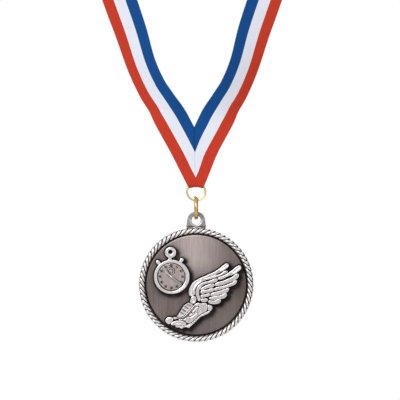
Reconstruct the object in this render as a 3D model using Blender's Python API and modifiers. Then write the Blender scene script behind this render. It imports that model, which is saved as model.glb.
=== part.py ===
"""Sports finisher medal: a two inch cast medal with a rope border and a stopwatch and winged shoe
in relief, hung by two rings from a striped neck ribbon.

World frame: metres, +Z up, the medal faces -Y. The origin is on the ribbon at the nape of the neck.
Flat outlines are in millimetres from the medal's centre, x to the right and y up.
"""

import math

import bmesh
import bpy
from mathutils import Vector

MM = 0.001

# Medal
MEDAL_RADIUS = 25.4 * MM
BACK = -1.5 * MM
FIELD = 1.0 * MM
FIELD_RADIUS = 22.45 * MM
SEAT_GAP = 0.1 * MM
ROPE_RADIUS = 1.4 * MM
ROPE_STRANDS = 64
ROPE_LIFT = 0.35 * MM
ROPE_DEPTH = 1.24
ROPE_GROOVE = 0.3 * MM
ROPE_LEAN = 4.1
HOLE_UP = 28.5 * MM
HOLE_RADIUS = 2.15 * MM
LOOP_HALF_THICKNESS = 0.9 * MM

# Rings, from the medal up
PLAY = 0.15 * MM
LINK_RADIUS = 4.5 * MM
LINK_WIRE = 0.85 * MM
RIBBON_RING_RADIUS = 4.03 * MM
RIBBON_RING_WIRE = 0.43 * MM
RING_JOIN = 0.15 * MM
LINK_BOTTOM = HOLE_UP + HOLE_RADIUS - PLAY - LINK_WIRE
LINK_CENTRE = LINK_BOTTOM + LINK_RADIUS
RING_BOTTOM = LINK_CENTRE + LINK_RADIUS - LINK_WIRE - PLAY - RIBBON_RING_WIRE
RING_CENTRE = RING_BOTTOM + RIBBON_RING_RADIUS

# Ribbon
RIBBON_WIDTH = 15.0 * MM
RIBBON_THICKNESS = 0.5 * MM
MITRE_ANGLE = math.radians(26.5)
MITRE_CENTRE_UP = 53.1 * MM
SEAM_GAP = 0.1 * MM
FOLD_BOTTOM = 42.5 * MM
FOLD_TOP = 48.0 * MM
FOLD_CLEARANCE = 0.2 * MM
BUTT_GAP = 0.3 * MM
DRIFT = 1.8 * MM
DRIFT_RISE = 90.0 * MM
THREAD_RADIUS = 0.12 * MM
DROP = 308.0 * MM
REACH = 119.5 * MM
MEDAL_CENTRE = Vector((DRIFT, -REACH, -DROP))

# The ribbon's centre line on the wearer's left side, from the mitre to the nape: right, back and up
# from the medal's centre in millimetres, and how far the ribbon's face has turned from the front.
NECK_ROUTE = [
    (9.95, 0.0, 73.0, 4),
    (14.0, 0.0, 80.1, 30),
    (18.4, 0.2, 87.2, 33),
    (22.95, 0.3, 97.8, 30),
    (27.25, 0.3, 112.0, 19),
    (32.15, 0.0, 126.2, 12),
    (40.2, 1.0, 150.0, 14),
    (49.2, 4.0, 180.0, 24),
    (56.5, 11.0, 210.0, 38),
    (61.8, 24.0, 240.0, 54),
    (64.8, 42.0, 264.0, 70),
    (65.5, 62.0, 281.0, 86),
    (61.5, 84.0, 293.0, 108),
    (50.0, 103.0, 300.5, 132),
    (29.0, 115.5, 305.5, 158),
    (0.0, 119.5, 308.0, 180),
]
STRAP_END = 9
STEPS = 3

SILVER = (0.42, 0.38, 0.37)
BRIGHT_SILVER = (0.78, 0.75, 0.73)
GOLD = (0.72, 0.52, 0.2)
PALE_GOLD = (0.75, 0.66, 0.32)
RED = (0.62, 0.045, 0.018)
WHITE = (0.86, 0.88, 0.93)
BLUE = (0.012, 0.09, 0.36)


def clear_scene():
    for obj in list(bpy.data.objects):
        bpy.data.objects.remove(obj, do_unlink=True)


def collection(name):
    made = bpy.data.collections.new(name)
    bpy.context.scene.collection.children.link(made)
    return made


clear_scene()
MEDAL = collection("finisher_medal")
CUTTERS = collection("cutters")


def material(name, colour, roughness, metallic):
    made = bpy.data.materials.new(name)
    made.use_nodes = True
    shader = made.node_tree.nodes["Principled BSDF"]
    shader.inputs["Base Color"].default_value = (*colour, 1)
    shader.inputs["Roughness"].default_value = roughness
    shader.inputs["Metallic"].default_value = metallic
    return made


def metal(name, colour, roughness=0.4):
    return material(name, colour, roughness, 1.0)


def cloth(name, colour):
    return material(name, colour, 0.8, 0.0)


def keep(obj, paint, parent=None, place=(0, 0, 0)):
    """Puts a part in the medal's collection with its own material, under the pivot that it moves with."""
    for owner in list(obj.users_collection):
        owner.objects.unlink(obj)
    MEDAL.objects.link(obj)
    if paint:
        obj.data.materials.append(paint)
    obj.parent = parent
    obj.location = place
    return obj


def pivot(name, up, turn=(0, 0, 0)):
    """An empty on a joint's axis, at a height above the medal's centre."""
    empty = bpy.data.objects.new(name, None)
    empty.location = MEDAL_CENTRE + Vector((0, 0, up))
    empty.rotation_euler = turn
    empty.empty_display_size = 3 * MM
    MEDAL.objects.link(empty)
    return empty


def smooth(mesh):
    """Shades a mesh smooth but keeps its corners sharp."""
    mesh.shade_smooth()
    mesh.set_sharp_from_angle(angle=math.radians(35))


def as_mesh(obj):
    """A curve or modified object as a plain mesh with its caps welded on, in the same place."""
    bpy.context.view_layer.update()
    graph = bpy.context.evaluated_depsgraph_get()
    mesh = bpy.data.meshes.new_from_object(obj.evaluated_get(graph))
    work = bmesh.new()
    work.from_mesh(mesh)
    bmesh.ops.remove_doubles(work, verts=work.verts, dist=0.001 * MM)
    work.to_mesh(mesh)
    work.free()
    smooth(mesh)
    made = bpy.data.objects.new(obj.name + "_mesh", mesh)
    made.matrix_world = obj.matrix_world
    bpy.context.scene.collection.objects.link(made)
    name = obj.name
    bpy.data.objects.remove(obj, do_unlink=True)
    made.name = name
    return made


# Curves


def new_curve(name, dimensions):
    curve = bpy.data.curves.new(name, "CURVE")
    curve.dimensions = dimensions
    obj = bpy.data.objects.new(name, curve)
    bpy.context.scene.collection.objects.link(obj)
    return obj


def add_poly(obj, points, cyclic):
    spline = obj.data.splines.new("POLY")
    spline.points.add(len(points) - 1)
    for target, point in zip(spline.points, points):
        target.co = (*point, 1)
    spline.use_cyclic_u = cyclic


def add_outline(obj, points, detail):
    """A smooth closed outline through points in millimetres."""
    spline = obj.data.splines.new("BEZIER")
    spline.bezier_points.add(len(points) - 1)
    for target, (x, y) in zip(spline.bezier_points, points):
        target.co = (x * MM, y * MM, 0)
        target.handle_left_type = "AUTO"
        target.handle_right_type = "AUTO"
    spline.use_cyclic_u = True
    spline.resolution_u = detail


def circle_points(centre, radius, count, start=0.0, sweep=math.tau):
    """Points round a circle in the XY plane; a part circle includes both ends."""
    steps = count if sweep == math.tau else count - 1
    angles = [start + sweep * i / steps for i in range(count)]
    return [
        (centre[0] + radius * math.cos(a), centre[1] + radius * math.sin(a), 0)
        for a in angles
    ]


def wire(name, points, radius, resolution=2):
    """A round wire with flat ends through the points."""
    obj = new_curve(name, "3D")
    obj.data.bevel_depth = radius
    obj.data.bevel_resolution = resolution
    obj.data.use_fill_caps = True
    add_poly(obj, points, False)
    return obj


def ring(name, radius, wire_radius, join_at, segments=40):
    """A jump ring in the XY plane with a fine butt join."""
    half_join = RING_JOIN / radius / 2
    points = circle_points(
        (0, 0), radius, segments, join_at + half_join, math.tau - 2 * half_join
    )
    return wire(name, points, wire_radius)


# Relief on the medal's face. Local z is the height out of the face.


def on_face(obj, paint, out=0.0):
    return keep(obj, paint, medal_pivot, (0, -LINK_BOTTOM, out))


def plate(name, outline, height, paint, detail=2, base=FIELD + SEAT_GAP):
    """A flat piece of relief, from just above the field to the given height in millimetres."""
    obj = new_curve(name, "2D")
    top = FIELD + height * MM
    obj.data.fill_mode = "BOTH"
    obj.data.extrude = (top - base) / 2
    add_outline(obj, outline, detail)
    return on_face(obj, paint, (top + base) / 2)


def turned(name, profile, segments, paint):
    """A solid turned about the face's normal; the profile runs down its outer side."""
    mesh = bpy.data.meshes.new(name)
    points = [(x * MM, 0, z * MM) for x, z in profile]
    edges = [(i, i + 1) for i in range(len(points) - 1)]
    mesh.from_pydata(points, edges, [])
    obj = bpy.data.objects.new(name, mesh)
    bpy.context.scene.collection.objects.link(obj)
    screw = obj.modifiers.new("turn", "SCREW")
    screw.steps = segments
    screw.render_steps = segments
    screw.use_merge_vertices = True
    screw.merge_threshold = 0.001 * MM
    return on_face(as_mesh(obj), paint)


def medal_disc():
    """The plate behind the relief: flat back, slightly crowned field and a groove inside the rope."""
    mm = 1 / MM
    edge = FIELD_RADIUS * mm
    field = FIELD * mm
    profile = [
        (0, field),
        (edge - 1.2, field - 0.05),
        (edge, field - 0.45),
        (edge, BACK * mm + 0.2),
        (edge - 0.2, BACK * mm),
        (0, BACK * mm),
    ]
    return turned("medal_disc", profile, 72, metal("disc_silver", SILVER))


def rope_border():
    """The twisted rope round the edge, as a torus whose section is grooved between its strands."""
    centre_radius = MEDAL_RADIUS - ROPE_RADIUS
    bpy.ops.mesh.primitive_torus_add(
        major_segments=ROPE_STRANDS * 5,
        minor_segments=10,
        major_radius=centre_radius,
        minor_radius=ROPE_RADIUS,
    )
    obj = bpy.context.active_object
    obj.name = "rope_border"
    obj.data.shade_smooth()
    for vertex in obj.data.vertices:
        x, y, z = vertex.co
        around = math.atan2(y, x)
        across = math.hypot(x, y) - centre_radius
        twist = math.atan2(z, across)
        phase = ROPE_STRANDS * around + ROPE_LEAN * math.cos(twist)
        shrink = 1 - ROPE_GROOVE / ROPE_RADIUS * (0.5 - 0.5 * math.cos(phase))
        radius = centre_radius + across * shrink
        vertex.co = (
            radius * math.cos(around),
            radius * math.sin(around),
            z * shrink * ROPE_DEPTH + ROPE_LIFT,
        )
    return on_face(obj, metal("rope_silver", BRIGHT_SILVER))


def suspension_loop():
    """The tab above the rope with the hole that the link ring passes through."""
    foot_radius = MEDAL_RADIUS + SEAT_GAP
    foot_half_width = 4.2 * MM
    crown_radius = 3.75 * MM
    foot_angle = math.asin(foot_half_width / foot_radius)
    foot = circle_points(
        (0, 0), foot_radius, 7, math.pi / 2 + foot_angle, -2 * foot_angle
    )
    crown = circle_points(
        (0, HOLE_UP), crown_radius, 15, math.radians(-8), math.radians(196)
    )
    obj = new_curve("suspension_loop", "2D")
    obj.data.fill_mode = "BOTH"
    edge = 0.25 * MM
    obj.data.extrude = LOOP_HALF_THICKNESS - edge
    obj.data.bevel_depth = edge
    obj.data.bevel_resolution = 0
    obj.data.offset = -edge
    add_poly(obj, foot + crown, True)
    add_poly(obj, circle_points((0, HOLE_UP), HOLE_RADIUS, 24), True)
    return on_face(as_mesh(obj), metal("loop_silver", SILVER))


# Stopwatch

DIAL = (-11.0, 3.55)
DIAL_HEIGHT = 0.4
BOW = (-11.35, 14.35)


def disc_outline(centre, across, up, count=8):
    angles = [math.tau * i / count for i in range(count)]
    return [
        (centre[0] + across * math.cos(a), centre[1] + up * math.sin(a)) for a in angles
    ]


def banded(name, outer, inner, height, paint, detail=4):
    """A flat relief ring between two outlines."""
    obj = new_curve(name, "2D")
    base = FIELD + SEAT_GAP
    top = FIELD + height * MM
    obj.data.fill_mode = "BOTH"
    obj.data.extrude = (top - base) / 2
    add_outline(obj, outer, detail)
    add_outline(obj, inner, detail)
    return on_face(obj, paint, (top + base) / 2)


def button_outline(head, towards, half_width, length):
    """A push button: a round head on a short stalk that points towards the case."""
    way = (Vector(towards) - Vector(head)).normalized()
    side = Vector((-way.y, way.x))
    head = Vector(head)
    ends = [
        head - way * half_width * 0.8,
        head - way * half_width * 0.3 + side * half_width,
        head + way * half_width * 0.7 + side * half_width * 0.8,
        head + way * length + side * half_width * 0.55,
        head + way * length - side * half_width * 0.55,
        head + way * half_width * 0.7 - side * half_width * 0.8,
        head - way * half_width * 0.3 - side * half_width,
    ]
    return [tuple(point) for point in ends]


def stopwatch():
    banded(
        "stopwatch_case",
        disc_outline((-10.8, 3.55), 7.85, 7.5),
        disc_outline(DIAL, 6.15, 6.2),
        0.95,
        metal("case_silver", BRIGHT_SILVER),
        6,
    )
    plate(
        "stopwatch_dial", disc_outline(DIAL, 6.0, 6.05), DIAL_HEIGHT, metal("dial_silver", SILVER), 5
    )
    plate(
        "stopwatch_hand",
        [
            (-14.0, 5.1),
            (-13.3, 6.4),
            (-10.8, 4.0),
            (-6.5, 0.75),
            (-6.2, 0.15),
            (-6.9, 0.2),
            (-11.3, 3.2),
        ],
        0.65,
        metal("hand_silver", BRIGHT_SILVER),
        base=FIELD + DIAL_HEIGHT * MM + SEAT_GAP,
    )
    banded(
        "stopwatch_bow",
        disc_outline(BOW, 2.45, 2.4),
        disc_outline((-11.4, 14.5), 0.95, 0.95),
        0.75,
        metal("bow_silver", BRIGHT_SILVER),
        3,
    )
    plate(
        "stopwatch_stem",
        [(-12.4, 11.25), (-12.3, 11.6), (-10.85, 11.6), (-10.7, 11.25), (-11.6, 11.2)],
        0.65,
        metal("stem_silver", BRIGHT_SILVER),
    )
    buttons = {
        "stopwatch_left_button": (-17.3, 10.4),
        "stopwatch_right_button": (-6.1, 11.6),
    }
    for name, head in buttons.items():
        outline = button_outline(head, DIAL, 0.75, 1.0)
        plate(name, outline, 0.65, metal(name + "_silver", BRIGHT_SILVER))


# Winged shoe. Each outline goes round once; heights are above the field in millimetres.

SHOE = {
    "shoe_toe_bumper": (
        0.7,
        [
            (-13.5, -15.7),
            (-12.9, -14.8),
            (-11.6, -14.35),
            (-10.45, -14.7),
            (-10.25, -15.3),
            (-10.6, -16.05),
            (-11.4, -16.9),
            (-12.1, -17.25),
            (-12.9, -16.8),
        ],
    ),
    "shoe_toe_cap": (
        0.8,
        [
            (-11.1, -17.3),
            (-10.2, -16.45),
            (-9.0, -16.05),
            (-7.5, -15.9),
            (-6.0, -16.0),
            (-5.1, -16.4),
            (-4.55, -17.0),
            (-4.5, -17.5),
            (-5.2, -17.75),
            (-7.0, -17.85),
            (-9.0, -17.75),
        ],
    ),
    "shoe_laces": (
        0.95,
        [
            (-10.0, -14.35),
            (-9.0, -14.2),
            (-8.3, -13.7),
            (-6.9, -11.7),
            (-5.7, -9.8),
            (-4.4, -8.5),
            (-3.2, -8.0),
            (-1.6, -8.8),
            (-2.1, -9.8),
            (-3.9, -12.05),
            (-5.3, -13.4),
            (-6.8, -14.3),
            (-8.6, -15.0),
            (-9.8, -15.05),
        ],
    ),
    "shoe_tongue": (
        1.1,
        [
            (-2.3, -6.1),
            (-2.0, -5.35),
            (-1.0, -4.95),
            (-0.15, -5.4),
            (0.0, -6.3),
            (-0.25, -7.4),
            (-0.85, -8.15),
            (-1.5, -8.2),
            (-2.6, -7.4),
            (-2.5, -6.8),
        ],
    ),
    "shoe_upper": (
        0.85,
        [
            (0.75, -8.0),
            (2.0, -8.25),
            (4.6, -8.35),
            (4.8, -9.4),
            (4.75, -10.4),
            (4.6, -11.3),
            (3.4, -12.0),
            (1.8, -12.85),
            (0.6, -13.8),
            (-0.6, -15.1),
            (-2.0, -16.35),
            (-3.2, -16.85),
            (-4.0, -16.7),
            (-4.8, -15.9),
            (-6.0, -15.5),
            (-7.6, -15.45),
            (-6.5, -14.75),
            (-5.0, -13.7),
            (-3.5, -12.1),
            (-1.8, -10.1),
            (-0.6, -8.8),
        ],
    ),
    "shoe_heel_tab": (
        0.95,
        [
            (5.25, -8.95),
            (6.1, -8.95),
            (6.8, -9.3),
            (7.1, -9.95),
            (6.85, -10.8),
            (6.3, -11.3),
            (5.5, -11.2),
            (5.1, -10.2),
        ],
    ),
    "shoe_sole": (
        0.55,
        [
            (6.1, -11.65),
            (5.0, -11.95),
            (3.5, -12.65),
            (2.0, -13.4),
            (0.9, -14.25),
            (-0.3, -15.5),
            (-1.6, -16.75),
            (-3.0, -17.5),
            (-4.6, -18.0),
            (-6.5, -18.15),
            (-8.6, -18.1),
            (-9.1, -18.35),
            (-8.4, -18.7),
            (-7.1, -18.85),
            (-6.4, -19.3),
            (-5.8, -18.85),
            (-4.2, -18.65),
            (-3.3, -18.95),
            (-2.5, -18.2),
            (-1.0, -16.9),
            (0.5, -15.4),
            (2.0, -14.05),
            (3.8, -13.25),
            (5.4, -12.45),
        ],
    ),
}

WING = {
    "wing_leading_feather": (
        1.1,
        [
            (-2.7, -4.75),
            (-3.2, -3.0),
            (-2.6, -1.0),
            (-1.3, 0.95),
            (0.6, 2.3),
            (4.5, 4.1),
            (8.2, 5.8),
            (11.8, 8.4),
            (13.5, 9.5),
            (14.4, 8.8),
            (13.6, 7.5),
            (10.5, 5.6),
            (7.2, 4.05),
            (7.2, 3.6),
            (10.5, 4.7),
            (13.2, 6.25),
            (13.9, 5.85),
            (12.5, 4.95),
            (8.0, 3.15),
            (3.0, 1.7),
            (0.8, 0.2),
            (-0.5, -2.0),
            (-0.75, -4.3),
        ],
    ),
    "wing_long_feather_1": (
        1.05,
        [
            (9.9, 2.4),
            (10.1, 3.2),
            (12.0, 4.0),
            (15.3, 6.0),
            (18.2, 8.2),
            (19.4, 8.55),
            (19.8, 7.4),
            (18.0, 5.6),
            (14.0, 3.8),
        ],
    ),
    "wing_long_feather_2": (
        1.0,
        [
            (8.8, 0.6),
            (12.0, 1.85),
            (16.0, 3.55),
            (18.3, 5.0),
            (18.8, 4.3),
            (17.8, 2.6),
            (14.0, 0.95),
            (10.0, -0.3),
            (8.6, -0.3),
        ],
    ),
    "wing_long_feather_3": (
        0.95,
        [
            (8.3, -1.6),
            (12.0, -0.45),
            (16.0, 1.05),
            (17.8, 1.95),
            (17.7, 0.8),
            (16.6, -0.05),
            (14.0, -0.95),
            (10.0, -2.15),
            (8.3, -2.5),
        ],
    ),
    "wing_long_feather_4": (
        0.9,
        [
            (6.8, -4.0),
            (10.0, -2.85),
            (13.0, -1.75),
            (14.4, -1.45),
            (14.1, -2.7),
            (12.6, -3.65),
            (10.0, -4.25),
            (7.0, -4.85),
        ],
    ),
    "wing_long_feather_5": (
        0.85,
        [
            (5.5, -5.85),
            (7.2, -5.25),
            (11.0, -4.55),
            (13.5, -3.95),
            (13.2, -5.1),
            (12.0, -5.95),
            (9.0, -6.4),
            (5.8, -6.3),
        ],
    ),
    "wing_long_feather_6": (
        0.8,
        [
            (5.5, -7.0),
            (8.0, -7.0),
            (10.8, -6.6),
            (10.5, -7.7),
            (9.2, -8.3),
            (7.0, -8.4),
            (5.6, -7.95),
        ],
    ),
    "wing_covert_band": (
        0.95,
        [
            (-0.1, -4.4),
            (-0.1, -2.8),
            (0.6, -0.8),
            (2.3, 0.75),
            (6.0, 1.8),
            (9.2, 2.85),
            (9.1, 1.6),
            (5.5, 0.75),
            (2.8, -0.3),
            (1.45, -2.0),
            (1.3, -4.5),
            (1.75, -6.8),
            (1.0, -6.9),
            (0.45, -5.6),
        ],
    ),
    "wing_covert_1": (
        0.9,
        [
            (2.0, -2.0),
            (2.8, -1.15),
            (4.4, -0.3),
            (7.8, 0.5),
            (8.0, -0.5),
            (5.0, -1.4),
        ],
    ),
    "wing_covert_2": (
        0.85,
        [(2.0, -3.6), (2.1, -2.8), (5.0, -2.15), (7.6, -1.5), (7.3, -2.8), (4.5, -3.4)],
    ),
    "wing_covert_3": (
        0.8,
        [(2.0, -5.4), (2.1, -4.7), (4.0, -4.25), (6.1, -3.8), (6.0, -4.7), (3.8, -5.35)],
    ),
    "wing_covert_4": (
        0.75,
        [(2.2, -7.1), (2.2, -6.4), (3.6, -6.1), (5.0, -6.1), (4.9, -7.2), (3.6, -7.5)],
    ),
}


def winged_shoe():
    for name, (height, outline) in {**SHOE, **WING}.items():
        plate(name, outline, height, metal(name + "_silver", BRIGHT_SILVER))


# Rings


def link_ring():
    """Stands edge on between the medal's loop and the ribbon ring, with its join at the back."""
    obj = ring("link_ring", LINK_RADIUS, LINK_WIRE, math.pi / 2)
    obj.rotation_euler = (0, math.pi / 2, 0)
    centre = (0, 0, LINK_CENTRE - RING_BOTTOM)
    return keep(obj, metal("link_gold", GOLD, 0.25), link_pivot, centre)


def ribbon_ring():
    """Faces forward; its top, with the join, runs inside the ribbon's fold."""
    obj = ring("ribbon_ring", RIBBON_RING_RADIUS, RIBBON_RING_WIRE, math.pi / 2)
    obj.rotation_euler = (math.pi / 2, 0, 0)
    return keep(obj, metal("ring_gold", PALE_GOLD, 0.25), ring_pivot)


# Ribbon


def catmull(a, b, c, d, t):
    return [
        0.5
        * (
            2 * q
            + (r - p) * t
            + (2 * p - 5 * q + 4 * r - s) * t * t
            + (3 * q - p - 3 * r + s) * t ** 3
        )
        for p, q, r, s in zip(a, b, c, d)
    ]


def neck_stations():
    """Points on a smooth curve through the route, each with how far the face has turned."""
    first = NECK_ROUTE[0]
    second = NECK_ROUTE[1]
    before = [2 * p - q for p, q in zip(first, second)]
    x, y, z, turn = NECK_ROUTE[-2]
    after = (-x, y, z, 360 - turn)
    points = [before, *NECK_ROUTE, after]
    made = []
    for i in range(len(NECK_ROUTE) - 1):
        for step in range(STEPS):
            made.append(catmull(*points[i : i + 4], step / STEPS))
    made.append(list(NECK_ROUTE[-1]))
    return made


def drift(up):
    """How far to the left the ribbon has wandered at this height."""
    rise = min(1.0, max(0.0, (up - RING_CENTRE) / DRIFT_RISE))
    return -DRIFT * math.sin(rise * math.pi / 2)


def ribbon_rows():
    """Four points across the ribbon at each station on one side, from the inner edge to the outer."""
    stations = neck_stations()
    centres = [Vector(s[:3]) * MM for s in stations]
    turns = [math.radians(s[3]) for s in stations]
    along = Vector((math.sin(MITRE_ANGLE), 0, math.cos(MITRE_ANGLE)))
    start = Vector((0, 0, MITRE_CENTRE_UP))
    below = [start - along * 20 * MM, start, start + along * 11 * MM]
    centres = below + centres
    turns = [0.0] * len(below) + turns
    rows = []
    for i, centre in enumerate(centres):
        ahead = centres[min(i + 1, len(centres) - 1)]
        behind = centres[max(i - 1, 0)]
        tangent = (ahead - behind).normalized()
        if i < len(below):
            tangent = along
        if i == len(centres) - 1:
            tangent = Vector((-1, 0, 0))
        facing = Vector((math.sin(turns[i]), -math.cos(turns[i]), 0))
        facing = (facing - tangent * facing.dot(tangent)).normalized()
        across = tangent.cross(facing)
        offsets = (-0.5, -1 / 6, 1 / 6, 0.5)
        rows.append([centre + across * RIBBON_WIDTH * w for w in offsets])
    return rows, len(below)


def place_row(row, side):
    return [Vector((side * p.x + drift(p.z), p.y, p.z)) for p in row]


STRIPES = [("ribbon_blue", BLUE), ("ribbon_white", WHITE), ("ribbon_red", RED)]


def ribbon_piece(name, rows, cuts=()):
    """An open sheet through the rows, cut by planes, then given the ribbon's thickness."""
    mesh = bpy.data.meshes.new(name)
    work = bmesh.new()
    grid = [[work.verts.new(p) for p in row] for row in rows]
    for low, high in zip(grid, grid[1:]):
        for stripe in range(3):
            corners = (low[stripe], low[stripe + 1], high[stripe + 1], high[stripe])
            work.faces.new(corners).material_index = stripe
    for point, normal in cuts:
        everything = work.verts[:] + work.edges[:] + work.faces[:]
        bmesh.ops.bisect_plane(
            work, geom=everything, plane_co=point, plane_no=normal, clear_inner=True
        )
    work.to_mesh(mesh)
    work.free()
    obj = bpy.data.objects.new(name, mesh)
    for stripe, colour in STRIPES:
        mesh.materials.append(cloth(f"{name}_{stripe}", colour))
    shell = obj.modifiers.new("thickness", "SOLIDIFY")
    shell.thickness = RIBBON_THICKNESS
    shell.offset = 0
    mesh.shade_smooth()
    return keep(obj, None, place=MEDAL_CENTRE)


def trim_end(rows, gap):
    """The rows with the last one drawn back by the gap."""
    last = [q + (p - q).normalized() * gap for p, q in zip(rows[-2], rows[-1])]
    return rows[:-1] + [last]


def ribbon():
    rows, below = ribbon_rows()
    split = below + STRAP_END * STEPS
    fold_line = Vector((0, 0, FOLD_TOP + SEAM_GAP))
    for side, name in ((1, "ribbon_right_strap"), (-1, "ribbon_left_strap")):
        strap = [place_row(row, side) for row in trim_end(rows[: split + 1], BUTT_GAP)]
        seam = Vector((side * SEAM_GAP / 2 + drift(FOLD_TOP), 0, 0))
        cuts = ((seam, Vector((side, 0, 0))), (fold_line, Vector((0, 0, 1))))
        ribbon_piece(name, strap, cuts)
    right = [place_row(row, 1) for row in rows[split:]]
    left = [place_row(row, -1) for row in rows[split:-1]]
    ribbon_piece("ribbon_neck_band", right + left[::-1])


def ribbon_fold():
    """The ribbon's tip, folded up behind itself to make the sleeve that holds the ribbon ring."""
    half_thickness = RIBBON_RING_WIRE + FOLD_CLEARANCE + RIBBON_THICKNESS
    sag = 0.6 * MM
    half_foot = 3.3 * MM
    foot = [
        (half_foot * t, FOLD_BOTTOM + sag * (1 - t * t), 0)
        for t in (-1, -0.6, -0.2, 0.2, 0.6, 1)
    ]
    side = [(3.75, 44.4), (4.6, 46.0), (5.6, FOLD_TOP / MM)]
    right = [(x * MM, y * MM, 0) for x, y in side]
    left = [(-x, y, z) for x, y, z in right[::-1]]
    obj = new_curve("ribbon_fold", "2D")
    obj.data.fill_mode = "BOTH"
    obj.data.extrude = half_thickness
    add_poly(obj, foot + right + left, True)
    obj.rotation_euler = (math.pi / 2, 0, 0)
    obj.location = MEDAL_CENTRE
    obj = as_mesh(obj)
    bpy.ops.mesh.primitive_torus_add(
        major_segments=40,
        minor_segments=10,
        major_radius=RIBBON_RING_RADIUS,
        minor_radius=RIBBON_RING_WIRE + FOLD_CLEARANCE,
        location=MEDAL_CENTRE + Vector((0, 0, RING_CENTRE)),
        rotation=(math.pi / 2, 0, 0),
    )
    sleeve = bpy.context.active_object
    sleeve.name = "ring_sleeve_cutter"
    for owner in list(sleeve.users_collection):
        owner.objects.unlink(sleeve)
    CUTTERS.objects.link(sleeve)
    sleeve.hide_render = True
    sleeve.display_type = "WIRE"
    cut = obj.modifiers.new("ring sleeve", "BOOLEAN")
    cut.operation = "DIFFERENCE"
    cut.object = sleeve
    return keep(obj, cloth("fold_red", RED), place=MEDAL_CENTRE)


def zigzag(name, start, end, half_width, stitches, behind):
    """A run of sewing thread on the ribbon's back, from start to end (right, up) in millimetres."""
    begin = Vector((start[0], start[1])) * MM
    finish = Vector((end[0], end[1])) * MM
    way = finish - begin
    side = Vector((-way.y, way.x)).normalized() * half_width * MM
    points = []
    for i in range(stitches + 1):
        flat = begin + way * i / stitches + side * (1 if i % 2 else -1)
        points.append((flat.x + drift(flat.y), behind, flat.y))
    obj = wire(name, points, THREAD_RADIUS, 1)
    return keep(obj, cloth(name + "_thread", WHITE), place=MEDAL_CENTRE)


def stitching():
    back = RIBBON_THICKNESS / 2 + THREAD_RADIUS + SEAT_GAP
    zigzag("mitre_stitching", (0, 52.0), (0, 71.0), 0.8, 16, back)
    zigzag("fold_stitching", (-4.8, 49.4), (4.8, 49.4), 0.6, 14, back)


ring_pivot = pivot("ribbon_ring_pivot", RING_CENTRE)
link_pivot = pivot("link_ring_pivot", RING_BOTTOM)
medal_pivot = pivot("medal_pivot", LINK_BOTTOM, (math.pi / 2, 0, 0))

medal_disc()
rope_border()
suspension_loop()
stopwatch()
winged_shoe()
link_ring()
ribbon_ring()
ribbon()
ribbon_fold()
stitching()
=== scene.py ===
"""Looks for the sports finisher medal: cast relief, rope border, gold rings and the neck ribbon.

Points in millimetres are measured from the medal's centre: x right, y up, z out of the face.
"""

import math

import bpy
import numpy as np
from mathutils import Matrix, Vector, geometry


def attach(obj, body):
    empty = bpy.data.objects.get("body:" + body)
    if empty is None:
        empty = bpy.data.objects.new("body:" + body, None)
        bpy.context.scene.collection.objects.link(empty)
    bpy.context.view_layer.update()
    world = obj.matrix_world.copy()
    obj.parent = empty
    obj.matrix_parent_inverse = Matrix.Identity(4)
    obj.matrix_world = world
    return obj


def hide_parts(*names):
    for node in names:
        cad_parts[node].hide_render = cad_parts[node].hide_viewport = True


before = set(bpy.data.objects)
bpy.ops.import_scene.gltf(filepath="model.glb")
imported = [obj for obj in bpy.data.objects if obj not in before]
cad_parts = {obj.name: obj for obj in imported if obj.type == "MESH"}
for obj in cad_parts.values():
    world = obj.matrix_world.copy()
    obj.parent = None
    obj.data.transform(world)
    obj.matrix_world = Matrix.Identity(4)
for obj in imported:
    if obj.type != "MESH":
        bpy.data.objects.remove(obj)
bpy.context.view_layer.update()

MM = 0.001
MEDAL_CENTRE = Vector((0.0018, -0.1195, -0.308))
FIELD = 1.0
MEDAL_RADIUS = 25.4
HOLE_UP = 28.5
HOLE_RADIUS = 2.15
LINK_RADIUS = 4.5
LINK_WIRE = 0.85
LINK_CENTRE = 34.15
RING_RADIUS = 4.03
RING_WIRE = 0.43
RING_CENTRE = 41.25
FLOOR_HEIGHT = -0.45

# Camera and light

CAMERA_DISTANCE = 0.4925
camera = bpy.data.objects.new("camera", bpy.data.cameras.new("camera"))
camera.data.lens = 100
camera.data.sensor_width = 36
camera.data.clip_start = 0.01
camera.location = (0.0035, -0.1195 - CAMERA_DISTANCE, -0.2705)
camera.rotation_euler = (math.pi / 2, 0, 0)
bpy.context.scene.collection.objects.link(camera)
bpy.context.scene.camera = camera
bpy.context.scene.view_settings.view_transform = "Standard"


def area_light(name, place, aim, width, height, power):
    light = bpy.data.lights.new(name, "AREA")
    light.shape = "RECTANGLE"
    light.size = width
    light.size_y = height
    light.energy = power
    obj = bpy.data.objects.new(name, light)
    obj.location = place
    obj.rotation_euler = (Vector(aim) - Vector(place)).to_track_quat("-Z", "Y").to_euler()
    bpy.context.scene.collection.objects.link(obj)


AIM = (0, -0.12, -0.28)
area_light("key", (-0.45, -1.0, 0.25), AIM, 0.7, 0.5, 5.8)
area_light("fill", (0.7, -0.8, -0.2), AIM, 0.5, 0.8, 2.0)
area_light("back", (0.2, 0.9, 0.3), AIM, 0.7, 0.7, 5.0)


RAMP = ("From Min", "From Max", "To Min", "To Max")


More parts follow.
